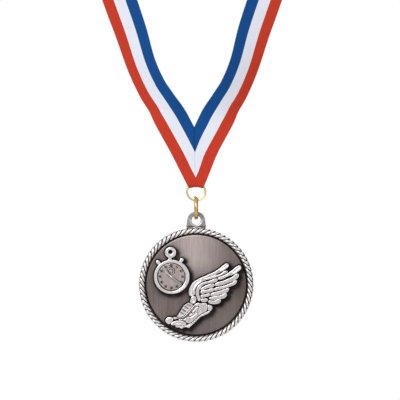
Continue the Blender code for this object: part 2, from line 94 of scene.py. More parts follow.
def studio_world():
    """White behind the object, and a soft sky that is brighter above and to the left."""
    world = bpy.data.worlds.new("studio")
    bpy.context.scene.world = world
    world.use_nodes = True
    tree = world.node_tree
    tree.nodes.clear()
    output = tree.nodes.new("ShaderNodeOutputWorld")
    mix = tree.nodes.new("ShaderNodeMixShader")
    seen = tree.nodes.new("ShaderNodeBackground")
    seen.inputs["Color"].default_value = (1, 1, 1, 1)
    sky = tree.nodes.new("ShaderNodeBackground")
    path = tree.nodes.new("ShaderNodeLightPath")
    way = tree.nodes.new("ShaderNodeTexCoord")
    dot = tree.nodes.new("ShaderNodeVectorMath")
    dot.operation = "DOT_PRODUCT"
    dot.inputs[1].default_value = Vector((-0.5, -0.35, 0.8)).normalized()
    ramp = tree.nodes.new("ShaderNodeMapRange")
    for key, value in zip(RAMP, (-0.8, 0.9, 0.03, 1.05)):
        ramp.inputs[key].default_value = value
    tree.links.new(way.outputs["Generated"], dot.inputs[0])
    tree.links.new(dot.outputs["Value"], ramp.inputs["Value"])
    tree.links.new(ramp.outputs["Result"], sky.inputs["Strength"])
    tree.links.new(path.outputs["Is Camera Ray"], mix.inputs["Fac"])
    tree.links.new(sky.outputs["Background"], mix.inputs[1])
    tree.links.new(seen.outputs["Background"], mix.inputs[2])
    tree.links.new(mix.outputs["Shader"], output.inputs["Surface"])


studio_world()

# Materials


class Paint:
    """A principled material and short ways to add nodes to it."""

    def __init__(self, name, **values):
        self.material = bpy.data.materials.new(name)
        self.material.use_nodes = True
        self.tree = self.material.node_tree
        self.shader = self.tree.nodes["Principled BSDF"]
        for key, value in values.items():
            self.shader.inputs[key.replace("_", " ")].default_value = value

    def node(self, kind, operation=None, **values):
        made = self.tree.nodes.new(kind)
        if operation:
            made.operation = operation
        for key, value in values.items():
            made.inputs[key.replace("_", " ")].default_value = value
        return made

    def join(self, source, target):
        self.tree.links.new(source, target)

    def noise(self, scale, detail=3.0, stretch=(1, 1, 1), source="Object"):
        """Noise in the piece's own coordinates; scale counts per metre."""
        place = self.node("ShaderNodeTexCoord")
        mapping = self.node("ShaderNodeMapping")
        mapping.inputs["Scale"].default_value = stretch
        made = self.node("ShaderNodeTexNoise", Scale=scale, Detail=detail)
        self.join(place.outputs[source], mapping.inputs["Vector"])
        self.join(mapping.outputs["Vector"], made.inputs["Vector"])
        return made.outputs["Fac"]

    def attribute(self, name):
        made = self.node("ShaderNodeAttribute")
        made.attribute_name = name
        return made.outputs["Fac"]

    def maths(self, operation, a, b):
        made = self.node("ShaderNodeMath", operation)
        for value, target in ((a, made.inputs[0]), (b, made.inputs[1])):
            if isinstance(value, (int, float)):
                target.default_value = value
            else:
                self.join(value, target)
        return made.outputs["Value"]

    def spread(self, source, low, high, start=0.0, end=1.0):
        """The source from start to end, mapped to low to high."""
        made = self.node("ShaderNodeMapRange")
        for key, value in zip(RAMP, (start, end, low, high)):
            made.inputs[key].default_value = value
        self.join(source, made.inputs["Value"])
        return made.outputs["Result"]

    def blend(self, factor, first, second):
        """A colour between two colours or colour outputs."""
        made = self.node("ShaderNodeMix")
        made.data_type = "RGBA"
        for value, target in ((first, made.inputs[6]), (second, made.inputs[7])):
            if isinstance(value, tuple):
                target.default_value = (*value, 1)
            else:
                self.join(value, target)
        self.join(factor, made.inputs[0])
        return made.outputs[2]

    def bump(self, height, depth):
        """Raises the surface by depth metres where height is 1."""
        made = self.node("ShaderNodeBump", Strength=1.0, Distance=depth)
        self.join(height, made.inputs["Height"])
        self.join(made.outputs["Normal"], self.shader.inputs["Normal"])


# Near-black of the patina in the hollows; the field paint also uses it for its painted shadow.
PATINA_AND_SHADOW_COLOUR = (0.016, 0.012, 0.012)


def relief_silver():
    """Bright rubbed silver with dark patina left in the hollows."""
    paint = Paint("antique_silver_relief", Metallic=1.0)
    patina_and_shadow = paint.attribute("patina_and_shadow")
    rubbed = paint.noise(900, 4)
    grain = paint.noise(5200, 3)
    silver = paint.blend(rubbed, (0.64, 0.605, 0.595), (0.88, 0.84, 0.83))
    edge = paint.maths("ADD", patina_and_shadow, paint.spread(grain, -0.12, 0.12))
    held = paint.spread(edge, 0.0, 1.0, 0.12, 0.85)
    paint.join(paint.blend(held, silver, PATINA_AND_SHADOW_COLOUR), paint.shader.inputs["Base Color"])
    paint.join(paint.spread(held, 0.3, 0.62), paint.shader.inputs["Roughness"])
    paint.bump(grain, 0.00003)
    return paint.material


def field_silver():
    """Duller silver, brushed up and down, with patina where the relief and the border stand, a painted shadow
    beside the relief, and painted light and shade from its light attribute.
    """
    paint = Paint("antique_silver_field", Metallic=1.0)
    patina_and_shadow = paint.attribute("patina_and_shadow")
    light = paint.attribute("light")
    brush = paint.noise(1.0, 4, (5200, 190, 190))
    broad = paint.noise(1.0, 3, (1300, 70, 70))
    cloud = paint.noise(260, 3)
    # Painted light: the light attribute paints the field from a dark painted shade up to a bright painted
    # highlight.
    painted_light_tone = paint.blend(light, (0.12, 0.094, 0.088), (0.8, 0.69, 0.665))
    strokes = paint.maths("ADD", paint.spread(brush, -0.5, 0.5), paint.spread(broad, -0.6, 0.6))
    streaked = paint.blend(paint.spread(strokes, 0.0, 1.0, -0.5, 0.5), (0.62, 0.6, 0.6), (1.0, 1.0, 1.0))
    tone = paint.node("ShaderNodeMix")
    tone.data_type = "RGBA"
    tone.blend_type = "MULTIPLY"
    tone.inputs[0].default_value = 1.0
    paint.join(painted_light_tone, tone.inputs[6])
    paint.join(streaked, tone.inputs[7])
    # On the disc these values hold the painted shadow of the relief as well as the patina.
    edge = paint.maths("ADD", patina_and_shadow, paint.spread(cloud, -0.16, 0.16))
    held = paint.spread(edge, 0.0, 1.0, 0.1, 0.8)
    paint.join(paint.blend(held, tone.outputs[2], PATINA_AND_SHADOW_COLOUR), paint.shader.inputs["Base Color"])
    paint.join(paint.spread(held, 0.42, 0.68), paint.shader.inputs["Roughness"])
    paint.bump(brush, 0.00004)
    return paint.material


def gold(name, shade, deep):
    """Polished plating with faint wear."""
    paint = Paint(name, Metallic=1.0)
    wear = paint.noise(700, 3)
    paint.join(paint.blend(wear, deep, shade), paint.shader.inputs["Base Color"])
    paint.join(paint.spread(wear, 0.2, 0.32), paint.shader.inputs["Roughness"])
    paint.bump(wear, 0.00001)
    return paint.material


def woven(name, shade, deep):
    """Taffeta ribbon: fine warp threads along it and weft ribs across it. The UV is in millimetres."""
    paint = Paint(name, Roughness=0.8, Specular_IOR_Level=0.15, Sheen_Weight=0.04)
    place = paint.node("ShaderNodeTexCoord")
    split = paint.node("ShaderNodeSeparateXYZ")
    paint.join(place.outputs["UV"], split.inputs["Vector"])
    warp = paint.maths("SINE", paint.maths("MULTIPLY", split.outputs["X"], math.tau / 0.24), 0.0)
    weft = paint.maths("SINE", paint.maths("MULTIPLY", split.outputs["Y"], math.tau / 0.42), 0.0)
    threads = paint.maths("ADD", paint.spread(warp, 0.0, 0.4, -1, 1), paint.spread(weft, 0.0, 0.6, -1, 1))
    uneven = paint.noise(1.0, 3, (2.2, 0.12, 1.0), "UV")
    mixed = paint.maths("ADD", paint.spread(threads, 0.0, 0.5), paint.spread(uneven, 0.0, 0.5))
    paint.join(paint.blend(mixed, deep, shade), paint.shader.inputs["Base Color"])
    paint.bump(threads, 0.00006)
    return paint.material


def thread_paint():
    paint = Paint("sewing_thread", Roughness=0.7, Sheen_Weight=0.3)
    twist = paint.noise(6000, 2)
    paint.join(paint.blend(twist, (0.72, 0.73, 0.76), (0.9, 0.91, 0.94)), paint.shader.inputs["Base Color"])
    paint.bump(twist, 0.00004)
    return paint.material


RELIEF = relief_silver()
DULL = field_silver()
GOLD = gold("gold_plate", (0.72, 0.5, 0.2), (0.62, 0.41, 0.15))
PALE_GOLD = gold("pale_gold_plate", (0.86, 0.78, 0.42), (0.66, 0.56, 0.24))
THREAD = thread_paint()
STRIPES = [
    woven("ribbon_blue", (0.003, 0.083, 0.31), (0.001, 0.04, 0.165)),
    woven("ribbon_white", (0.79, 0.808, 0.87), (0.63, 0.66, 0.75)),
    woven("ribbon_red", (0.62, 0.05, 0.021), (0.4, 0.026, 0.01)),
]

# Mesh tools


def mesh_object(name, points, faces, paints, upright=False):
    """A smooth-shaded mesh from millimetre points, in the medal's face frame or standing upright."""
    mesh = bpy.data.meshes.new(name)
    mesh.from_pydata((np.asarray(points) * MM).tolist(), [], faces)
    for paint in paints:
        mesh.materials.append(paint)
    mesh.shade_smooth()
    obj = bpy.data.objects.new(name, mesh)
    bpy.context.scene.collection.objects.link(obj)
    obj.location = MEDAL_CENTRE
    if not upright:
        obj.rotation_euler = (math.pi / 2, 0, 0)
    return obj


def write_values(obj, name, values):
    layer = obj.data.attributes.new(name, "FLOAT", "POINT")
    layer.data.foreach_set("value", np.asarray(values, dtype=np.float32))


def settle(obj, body, slot, *nodes):
    """The piece rides on a body and stands for these CAD nodes; the slot is not used."""
    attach(obj, body)
    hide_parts(*nodes)


HANDLE = 1 / 2.5614  # a curve handle's share of its segment's length


def smooth_line(points, step, closed=True):
    """A smooth curve through the points, in even steps."""
    points = np.array(points, float)
    count = len(points)
    ahead = np.roll(points, -1, 0) - points
    if not closed:
        ahead = ahead[:-1]
    length = np.hypot(ahead[:, 0], ahead[:, 1])
    unit = ahead / length[:, None]
    if closed:
        lean = unit + np.roll(unit, 1, 0)
    else:
        lean = np.vstack([unit[:1], unit[1:] + unit[:-1], unit[-1:]])
    lean /= np.maximum(np.hypot(lean[:, 0], lean[:, 1]), 1e-9)[:, None]
    t = np.linspace(0, 1, 16, endpoint=False)[:, None]
    dense = []
    for i in range(len(length)):
        start = points[i]
        end = points[(i + 1) % count]
        out = start + lean[i] * length[i] * HANDLE
        back = end - lean[(i + 1) % count] * length[i] * HANDLE
        dense.append(
            start * (1 - t) ** 3
            + 3 * out * t * (1 - t) ** 2
            + 3 * back * t**2 * (1 - t)
            + end * t**3
        )
    last = points[:1] if closed else points[-1:]
    dense = np.vstack(dense + [last])
    along = np.concatenate([[0], np.cumsum(np.hypot(*np.diff(dense, axis=0).T))])
    pieces = max(3, round(along[-1] / step))
    even = np.linspace(0, along[-1], pieces + 1)
    line = np.column_stack([np.interp(even, along, dense[:, k]) for k in (0, 1)])
    return line[:-1] if closed else line


def distance(points, line, closed=True):
    """How far each point is from the line."""
    start = line if closed else line[:-1]
    way = (np.roll(line, -1, 0) if closed else line[1:]) - start
    square = np.maximum((way**2).sum(1), 1e-12)
    best = np.full(len(points), 1e9)
    for i in range(0, len(start), 48):
        offset = points[:, None] - start[None, i : i + 48]
        along = np.clip((offset * way[None, i : i + 48]).sum(2) / square[i : i + 48], 0, 1)
        gap = offset - along[:, :, None] * way[None, i : i + 48]
        best = np.minimum(best, (gap**2).sum(2).min(1))
    return np.sqrt(best)


def inside(points, line):
    end = np.roll(line, -1, 0)
    crossings = np.zeros(len(points), int)
    for (x0, y0), (x1, y1) in zip(line, end):
        if y0 == y1:
            continue
        spans = (points[:, 1] > y0) != (points[:, 1] > y1)
        crossings += spans & (points[:, 0] < x0 + (points[:, 1] - y0) * (x1 - x0) / (y1 - y0))
    return crossings % 2 == 1


def inward(line, hole):
    """Unit vectors at right angles to the line, into the material."""
    way = np.roll(line, -1, 0) - np.roll(line, 1, 0)
    way /= np.maximum(np.hypot(way[:, 0], way[:, 1]), 1e-9)[:, None]
    area = (line[:, 0] * np.roll(line[:, 1], -1) - np.roll(line[:, 0], -1) * line[:, 1]).sum()
    side = 1 if (area > 0) != hole else -1
    return np.column_stack([-way[:, 1], way[:, 0]]) * side


def within(points, loops):
    ok = inside(points, loops[0])
    for hole in loops[1:]:
        ok &= ~inside(points, hole)
    return ok


def edge_distance(points, loops):
    return np.min([distance(points, loop) for loop in loops], axis=0)


def shoulder(depth, reach):
    u = np.clip(depth / reach, 0, 1)
    return np.sqrt(1 - (1 - u) ** 2)


def filled(loops, step):
    """Points and triangles that fill the loops, with rows that follow their edges."""
    low = loops[0].min(0)
    high = loops[0].max(0)
    rows = []
    for number, y in enumerate(np.arange(low[1], high[1], step * 0.866)):
        x = np.arange(low[0] + (number % 2) * step / 2, high[0], step)
        rows.append(np.column_stack([x, np.full(len(x), y)]))
    inner = np.vstack(rows)
    inner = inner[within(inner, loops)]
    inner = inner[edge_distance(inner, loops) > 0.24 + step * 0.5]
    points = list(loops)
    for inset in (0.06, 0.14, 0.24):
        for number, loop in enumerate(loops):
            row = loop + inward(loop, number > 0) * inset
            row = row[within(row, loops)]
            if len(row):
                row = row[edge_distance(row, loops) > inset * 0.9]
            points.append(row)
    points.append(inner)
    flat = np.vstack(points)
    edges = []
    first = 0
    for loop in loops:
        count = len(loop)
        edges += [(first + i, first + (i + 1) % count) for i in range(count)]
        first += count
    mode = 2 if len(loops) > 1 else 1
    made = geometry.delaunay_2d_cdt([Vector(p) for p in flat.tolist()], edges, [], mode, 1e-6)
    where = {}
    for new, olds in enumerate(made[3]):
        for old in olds:
            where[old] = new
    borders = []
    first = 0
    for loop in loops:
        borders.append([where[first + i] for i in range(len(loop))])
        first += len(loop)
    flat = np.array([tuple(v) for v in made[0]])
    faces = [tuple(f) for f in made[2]]
    middles = np.array([flat[list(f)].mean(0) for f in faces])
    faces = [f for f, ok in zip(faces, within(middles, loops)) if ok]
    return flat, faces, borders


OUTLINES = []


def relief(
    name,
    outline,
    height,
    reach=0.8,
    edge=0.4,
    grooves=(),
    ridges=(),
    holes=(),
    step=0.17,
    base=FIELD,
    thickness=None,
    grow=0.1,
    stain=0.0,
):
    """A cast shape with rounded shoulders: outline and holes, then grooves and ridges on its top.

    A groove or ridge is (points, half width, depth, patina). With a thickness the shape has a back.
    """
    loops = [smooth_line(outline, step)] + [smooth_line(hole, step) for hole in holes]
    loops = [loop - inward(loop, number > 0) * grow for number, loop in enumerate(loops)]
    if thickness is None:
        OUTLINES.append(loops[0])
    flat, faces, borders = filled(loops, step)
    depth = edge_distance(flat, loops)
    up = height * (edge + (1 - edge) * shoulder(depth, reach))
    patina_and_shadow = np.maximum(0.6 * np.exp(-((depth / 0.11) ** 2)), stain)
    for points, half_width, cut, held in grooves:
        line = smooth_line(points, step, False)
        near = np.exp(-((distance(flat, line, False) / half_width) ** 2))
        up = up - cut * near
        patina_and_shadow = np.maximum(patina_and_shadow, held * near)
    for points, half_width, rise, clean in ridges:
        line = smooth_line(points, step, False)
        near = np.exp(-((distance(flat, line, False) / half_width) ** 2))
        up = up + rise * near
        patina_and_shadow = patina_and_shadow * (1 - clean * near)
    top = np.column_stack([flat, base + np.maximum(up, 0.02)])
    signed = [f if np.cross(flat[f[1]] - flat[f[0]], flat[f[2]] - flat[f[0]]) > 0 else f[::-1] for f in faces]
    points = [top]
    total = len(top)
    stains = [patina_and_shadow]
    made = list(signed)
    for number, (loop, border) in enumerate(zip(loops, borders)):
        out = -inward(loop, number > 0)
        area = (loop[:, 0] * np.roll(loop[:, 1], -1) - np.roll(loop[:, 0], -1) * loop[:, 1]).sum()
        forward = (area > 0) != (number > 0)
        if thickness is None:
            ring = np.column_stack([loop + out * 0.05, np.full(len(loop), base - 0.12)])
            points.append(ring)
            stains.append(np.full(len(loop), 1.0))
            current = [total + i for i in range(len(loop))]
            total += len(loop)
            for i in range(len(loop)):
                j = (i + 1) % len(loop)
                face = (current[i], current[j], border[j], border[i])
                made.append(face if forward else face[::-1])
        else:
            for i in range(len(loop)):
                j = (i + 1) % len(loop)
                face = (border[i] + len(top), border[j] + len(top), border[j], border[i])
                made.append(face if forward else face[::-1])
    if thickness is not None:
        under = np.column_stack([flat, 2 * base - thickness - (top[:, 2] - base)])
        points.append(under)
        stains.append(patina_and_shadow)
        made += [tuple(i + len(top) for i in f[::-1]) for f in signed]
    obj = mesh_object(name, np.vstack(points), made, [RELIEF])
    write_values(obj, "patina_and_shadow", np.concatenate(stains))
    return obj


def ellipse(centre, across, up, count=12):
    angles = [math.tau * i / count for i in range(count)]
    return [(centre[0] + across * math.cos(a), centre[1] + up * math.sin(a)) for a in angles]


# Winged shoe. Each outline goes round once; the number is its height above the field.

SHOE = {
    "shoe_toe_bumper": (
        0.7,
        [
            (-13.5, -15.7), (-12.9, -14.8), (-11.6, -14.35), (-10.45, -14.7), (-10.25, -15.3),
            (-10.6, -16.05), (-11.4, -16.9), (-12.1, -17.25), (-12.9, -16.8)
        ],
    ),
    "shoe_toe_cap": (
        0.8,
        [
            (-11.1, -17.3), (-10.2, -16.45), (-9.0, -16.05), (-7.5, -15.9), (-6.0, -16.0),
            (-5.1, -16.4), (-4.55, -17.0), (-4.5, -17.5), (-5.2, -17.75), (-7.0, -17.85),
            (-9.0, -17.75)
        ],
    ),
    "shoe_laces": (
        0.95,
        [
            (-10.0, -14.35), (-9.0, -14.2), (-8.3, -13.7), (-6.9, -11.7), (-5.7, -9.8), (-4.4, -8.5),
            (-3.2, -8.0), (-1.6, -8.8), (-2.1, -9.8), (-3.9, -12.05), (-5.3, -13.4), (-6.8, -14.3),
            (-8.6, -15.0), (-9.8, -15.05)
        ],
    ),
    "shoe_tongue": (
        1.1,
        [
            (-2.3, -6.1), (-2.0, -5.35), (-1.0, -4.95), (-0.15, -5.4), (0.0, -6.3), (-0.25, -7.4),
            (-0.85, -8.15), (-1.5, -8.2), (-2.6, -7.4), (-2.5, -6.8)
        ],
    ),
    "shoe_upper": (
        0.85,
        [
            (0.75, -8.0), (2.0, -8.25), (4.6, -8.35), (4.8, -9.4), (4.75, -10.4), (4.6, -11.3),
            (3.4, -12.0), (1.8, -12.85), (0.6, -13.8), (-0.6, -15.1), (-2.0, -16.35), (-3.2, -16.85),
            (-4.0, -16.7), (-4.8, -15.9), (-6.0, -15.5), (-7.6, -15.45), (-6.5, -14.75), (-5.0, -13.7),
            (-3.5, -12.1), (-1.8, -10.1), (-0.6, -8.8)
        ],
    ),
    "shoe_heel_tab": (
        0.95,
        [
            (5.25, -8.95), (6.1, -8.95), (6.8, -9.3), (7.1, -9.95), (6.85, -10.8), (6.3, -11.3),
            (5.5, -11.2), (5.1, -10.2)
        ],
    ),
    "shoe_sole": (
        0.55,
        [
            (6.1, -11.65), (5.0, -11.95), (3.5, -12.65), (2.0, -13.4), (0.9, -14.25), (-0.3, -15.5),
            (-1.6, -16.75), (-3.0, -17.5), (-4.6, -18.0), (-6.5, -18.15), (-8.6, -18.1),
            (-9.1, -18.35), (-8.4, -18.7), (-7.1, -18.85), (-6.4, -19.3), (-5.8, -18.85),
            (-4.2, -18.65), (-3.3, -18.95), (-2.5, -18.2), (-1.0, -16.9), (0.5, -15.4), (2.0, -14.05),
            (3.8, -13.25), (5.4, -12.45)
        ],
    ),
}

WING = {
    "wing_leading_feather": (
        1.1,
        [
            (-2.7, -4.75), (-3.2, -3.0), (-2.6, -1.0), (-1.3, 0.95), (0.6, 2.3), (4.5, 4.1),
            (8.2, 5.8), (11.8, 8.4), (13.5, 9.5), (14.4, 8.8), (13.6, 7.5), (10.5, 5.6), (9.2, 4.98),
            (8.75, 4.72), (8.65, 4.55), (8.8, 4.4), (9.3, 4.42), (10.5, 4.78), (13.2, 6.25), (13.9, 5.85),
            (12.5, 4.95), (8.0, 3.15), (3.0, 1.7),
            (0.8, 0.2), (-0.5, -2.0), (-0.75, -4.3)
        ],
    ),
    "wing_long_feather_1": (
        1.05,
        [
            (9.9, 2.4), (10.1, 3.2), (12.0, 4.0), (15.3, 6.0), (18.2, 8.2), (19.4, 8.55), (19.8, 7.4),
            (18.0, 5.6), (14.0, 3.8)
        ],
    ),
    "wing_long_feather_2": (
        1.0,
        [
            (8.8, 0.6), (12.0, 1.85), (16.0, 3.55), (18.3, 5.0), (18.8, 4.3), (17.8, 2.6),
            (14.0, 0.95), (10.0, -0.3), (8.6, -0.3)
        ],
    ),
    "wing_long_feather_3": (
        0.95,
        [
            (8.3, -1.6), (12.0, -0.45), (16.0, 1.05), (17.8, 1.95), (17.7, 0.8), (16.6, -0.05),
            (14.0, -0.95), (10.0, -2.15), (8.3, -2.5)
        ],
    ),
    "wing_long_feather_4": (
        0.9,
        [
            (6.8, -4.0), (10.0, -2.85), (13.0, -1.75), (14.4, -1.45), (14.1, -2.7), (12.6, -3.65),
            (10.0, -4.25), (7.0, -4.85)
        ],
    ),
    "wing_long_feather_5": (
        0.85,
        [
            (5.5, -5.85), (7.2, -5.25), (11.0, -4.55), (13.5, -3.95), (13.2, -5.1), (12.0, -5.95),
            (9.0, -6.4), (5.8, -6.3)
        ],
    ),
    "wing_long_feather_6": (
        0.8,
        [
            (5.5, -7.0), (8.0, -7.0), (10.8, -6.6), (10.5, -7.7), (9.2, -8.3), (7.0, -8.4),
            (5.6, -7.95)
        ],
    ),
    "wing_covert_band": (
        0.95,
        [
            (-0.1, -4.4), (-0.1, -2.8), (0.6, -0.8), (2.3, 0.75), (6.0, 1.8), (9.2, 2.85), (9.1, 1.6),
            (5.5, 0.75), (2.8, -0.3), (1.45, -2.0), (1.3, -4.5), (1.75, -6.8), (1.0, -6.9),
            (0.45, -5.6)
        ],
    ),
    "wing_covert_1": (
        0.9,
        [
            (2.0, -2.0), (2.8, -1.15), (4.4, -0.3), (7.8, 0.5), (8.0, -0.5), (5.0, -1.4)
        ],
    ),
    "wing_covert_2": (
        0.85,
        [
            (2.0, -3.6), (2.1, -2.8), (5.0, -2.15), (7.6, -1.5), (7.3, -2.8), (4.5, -3.4)
        ],
    ),
    "wing_covert_3": (
        0.8,
        [
            (2.0, -5.4), (2.1, -4.7), (4.0, -4.25), (6.1, -3.8), (6.0, -4.7), (3.8, -5.35)
        ],
    ),
    "wing_covert_4": (
        0.75,
        [
            (2.2, -7.1), (2.2, -6.4), (3.6, -6.1), (5.0, -6.1), (4.9, -7.2), (3.6, -7.5)
        ],
    ),
}

# Feather ends that butt against the next row: the move along x of the corner points, and which they are.

BUTTED = {
    "wing_long_feather_1": (-0.4, (0, 1)),
    "wing_long_feather_2": (-0.35, (0, 8)),
    "wing_long_feather_3": (-0.35, (0, 8)),
    "wing_long_feather_4": (-0.4, (0, 7)),
    "wing_long_feather_5": (0.1, (0, 7)),
    "wing_long_feather_6": (-0.1, (0, 6)),
    "wing_covert_band": (0.2, (5, 6)),
    "wing_covert_1": (0.1, (3, 4)),
    "wing_covert_2": (0.25, (3, 4)),
    "wing_covert_3": (0.15, (3, 4)),
    "wing_covert_4": (0.1, (3, 4)),
}

# Cuts in the relief: points, half width, depth, and the patina that they hold from 0 to 1.

CUTS = {
    "shoe_toe_cap": [([(-9.4, -16.95), (-7.3, -16.75), (-5.6, -17.1)], 0.45, 0.14, 0.35)],
    "shoe_tongue": [([(-1.15, -5.9), (-1.1, -6.6), (-1.3, -7.2)], 0.4, 0.2, 0.3)],
    "shoe_upper": [
        ([(-7.0, -15.15), (-5.2, -14.35), (-3.6, -13.0), (-1.9, -10.95), (-0.4, -9.2)], 0.24, 0.28, 1.0),
        (
            [(-5.9, -15.2), (-4.6, -14.5), (-3.0, -13.1), (-1.3, -11.1), (0.3, -9.5), (1.0, -9.35)],
            0.2,
            0.26,
            1.0,
        ),
        ([(1.1, -9.4), (1.0, -10.6), (0.55, -11.8), (0.35, -13.3)], 0.18, 0.2, 0.9),
        ([(1.9, -8.7), (2.0, -10.3), (1.6, -11.7), (1.0, -12.9)], 0.17, 0.16, 0.7),
        ([(-3.7, -13.3), (-2.9, -14.1), (-1.3, -13.4), (-0.1, -12.4)], 0.2, 0.24, 0.95),
        ([(-2.2, -12.3), (-1.2, -12.5), (-0.2, -11.6)], 0.2, 0.24, 0.95),
        ([(-4.6, -16.1), (-4.1, -15.0), (-3.7, -13.3)], 0.17, 0.16, 0.75),
        ([(4.35, -8.6), (4.1, -9.6), (4.3, -10.9)], 0.16, 0.14, 0.6),
    ],
    "shoe_sole": [
        (
            [(5.7, -12.0), (3.6, -12.95), (2.0, -13.75), (0.3, -15.3), (-1.2, -16.75), (-2.9, -17.85),
             (-4.6, -18.3), (-8.5, -18.42)],
            0.1,
            0.12,
            0.55,
        )
    ],
    "shoe_heel_tab": [([(5.7, -9.7), (6.3, -10.1), (6.1, -10.8)], 0.3, 0.12, 0.2)],
    "wing_leading_feather": [
        ([(-1.75, -4.5), (-1.85, -2.8), (-1.25, -1.1), (0.0, 0.6), (1.8, 2.0)], 0.42, 0.3, 0.3),
        ([(10.6, 6.8), (12.2, 7.7), (13.7, 8.75)], 0.26, 0.22, 0.35),
        ([(3.6, 2.95), (5.4, 3.45), (7.3, 4.0), (8.8, 4.55)], 0.13, 0.3, 0.7),
    ],
    "wing_long_feather_1": [([(16.3, 5.5), (17.8, 6.6), (19.1, 7.75)], 0.26, 0.2, 0.25)],
    "wing_covert_band": [
        ([(1.05, -6.4), (0.95, -4.6), (0.95, -2.9), (1.6, -1.1), (3.4, 0.15), (5.2, 0.75)], 0.15, 0.25, 0.55),
        ([(1.6, 0.15), (2.3, -0.15), (3.0, 0.1)], 0.14, 0.15, 0.5),
    ],
}
LACE_BARS = [
    ([(-3.55, -8.2), (-1.75, -9.0)], 0.3),
    ([(-4.4, -8.95), (-2.7, -9.85)], 0.42),
    ([(-5.5, -10.05), (-3.85, -11.15)], 0.45),
    ([(-6.35, -11.4), (-4.9, -12.25)], 0.3),
    ([(-7.7, -12.95), (-6.2, -13.75)], 0.62),
    ([(-9.5, -14.45), (-8.45, -14.7)], 0.3),
]
LACE_GAPS = [
    [(-5.1, -9.5), (-3.4, -10.6)],
    [(-4.0, -8.7), (-2.3, -9.4)],
    [(-6.1, -10.8), (-4.5, -11.8)],
    [(-7.0, -12.0), (-5.5, -13.0)],
    [(-8.9, -13.9), (-7.7, -14.5)],
]

# How far in each part's rounded shoulder reaches, where it isn't the usual 0.5.

REACH = {"shoe_sole": 0.35, "shoe_laces": 0.4, "shoe_toe_bumper": 1.2}


def butted(outline, shift, corners):
    """The outline with its chosen points moved along x and bent tightly."""
    moved = [Vector((x + shift, y)) if i in corners else Vector((x, y)) for i, (x, y) in enumerate(outline)]
    points = []
    for i, point in enumerate(moved):
        if i in corners:
            before = (moved[i - 1] - point).normalized()
            after = (moved[(i + 1) % len(moved)] - point).normalized()
            points += [tuple(point + before * 0.2), tuple(point + after * 0.2)]
        else:
            points.append(tuple(point))
    return points


def winged_shoe():
    for name, (height, outline) in {**SHOE, **WING}.items():
        if name in BUTTED:
            outline = butted(outline, *BUTTED[name])
        ridges = []
        cuts = CUTS.get(name, [])
        tall = height
        if name == "shoe_laces":
            tall = height - 0.3
            ridges = [(ends, width, 0.36, 1.0) for ends, width in LACE_BARS]
            cuts = [([(-9.3, -14.7), (-6.8, -13.2), (-5.0, -11.0), (-2.6, -8.7)], 1.5, 0.1, 0.22)]
            cuts += [(gap, 0.19, 0.22, 1.0) for gap in LACE_GAPS]
        wing = name in WING
        obj = relief(
            name + "_look",
            outline,
            tall,
            0.36 if wing else REACH.get(name, 0.5),
            0.5,
            cuts,
            ridges,
            grow=0.14 if wing else 0.15,
            stain=0.0 if wing else 0.04,
        )
        settle(obj, "medal", "antique_silver_relief", name)


winged_shoe()

# Stopwatch

DIAL = (-11.0, 3.55)
DIGITS = {
    "0": [[(0, 0), (1, 0), (1, 2), (0, 2), (0, 0)]],
    "1": [[(0.5, 0), (0.5, 2)]],
    "2": [[(0, 2), (1, 2), (1, 1), (0, 1), (0, 0), (1, 0)]],
    "3": [[(0, 2), (1, 2), (1, 0), (0, 0)], [(0, 1), (1, 1)]],
    "4": [[(0, 2), (0, 1), (1, 1)], [(1, 2), (1, 0)]],
    "5": [[(1, 2), (0, 2), (0, 1), (1, 1), (1, 0), (0, 0)]],
    "6": [[(1, 2), (0, 2), (0, 0), (1, 0), (1, 1), (0, 1)]],
}
HAND = [(-14.1, 5.45), (-12.9, 6.1), (-11.8, 4.9), (-10.9, 4.1), (-8.8, 2.3), (-6.4, 0.55), (-6.2, 0.2),
        (-6.7, 0.15), (-9.3, 1.75), (-11.25, 3.15), (-12.3, 4.1)]
DIGIT_WIDTH = 0.34
DIGIT_HEIGHT = 0.86


def dial_cuts():
    """The seconds round the edge of the dial, five to sixty, and the small counter's rings."""
    cuts = []
    for mark in range(1, 13):
        angle = math.pi / 2 - math.tau * mark / 12
        x = DIAL[0] + 4.95 * math.cos(angle)
        y = DIAL[1] + 4.95 * math.sin(angle)
        text = str(mark * 5)
        left = x - (len(text) * 0.5 - 0.1) * DIGIT_WIDTH - (len(text) - 1) * 0.1
        for place, digit in enumerate(text):
            start = left + place * (DIGIT_WIDTH + 0.22)
            for stroke in DIGITS[digit]:
                points = [(start + a * DIGIT_WIDTH, y + (b / 2 - 0.5) * DIGIT_HEIGHT) for a, b in stroke]
                cuts.append((points, 0.15, 0.1, 1.0))
        tick = [(DIAL[0] + r * math.cos(angle), DIAL[1] + r * math.sin(angle)) for r in (5.62, 5.85)]
        cuts.append((tick, 0.08, 0.08, 0.7))
    for radius, held in ((1.75, 0.95), (0.95, 1.0)):
        circle = ellipse((-11.15, 6.0), radius, radius, 16)
        cuts.append((circle + circle[:1], 0.16, 0.1, held))
    cuts.append((HAND + HAND[:1], 0.22, 0.06, 1.0))
    return cuts


def stem_outline():
    return [(-12.7, 10.6), (-12.2, 11.6), (-12.25, 12.7), (-11.6, 13.2),
            (-10.95, 12.7), (-11.0, 11.6), (-10.5, 10.6), (-11.6, 10.4)]


def button_outline(head, radius):
    """A round head on a stalk that runs down into the case."""
    head = Vector(head)
    way = (Vector(DIAL) - head).normalized()
    side = Vector((-way.y, way.x))
    points = []
    for i in range(7):
        angle = math.radians(-125 + 250 * i / 6)
        points.append(tuple(head - way * radius * math.cos(angle) + side * radius * math.sin(angle)))
    neck = head + way * 1.35
    points += [tuple(neck + side * radius * 0.6), tuple(neck - side * radius * 0.6)]
    return points


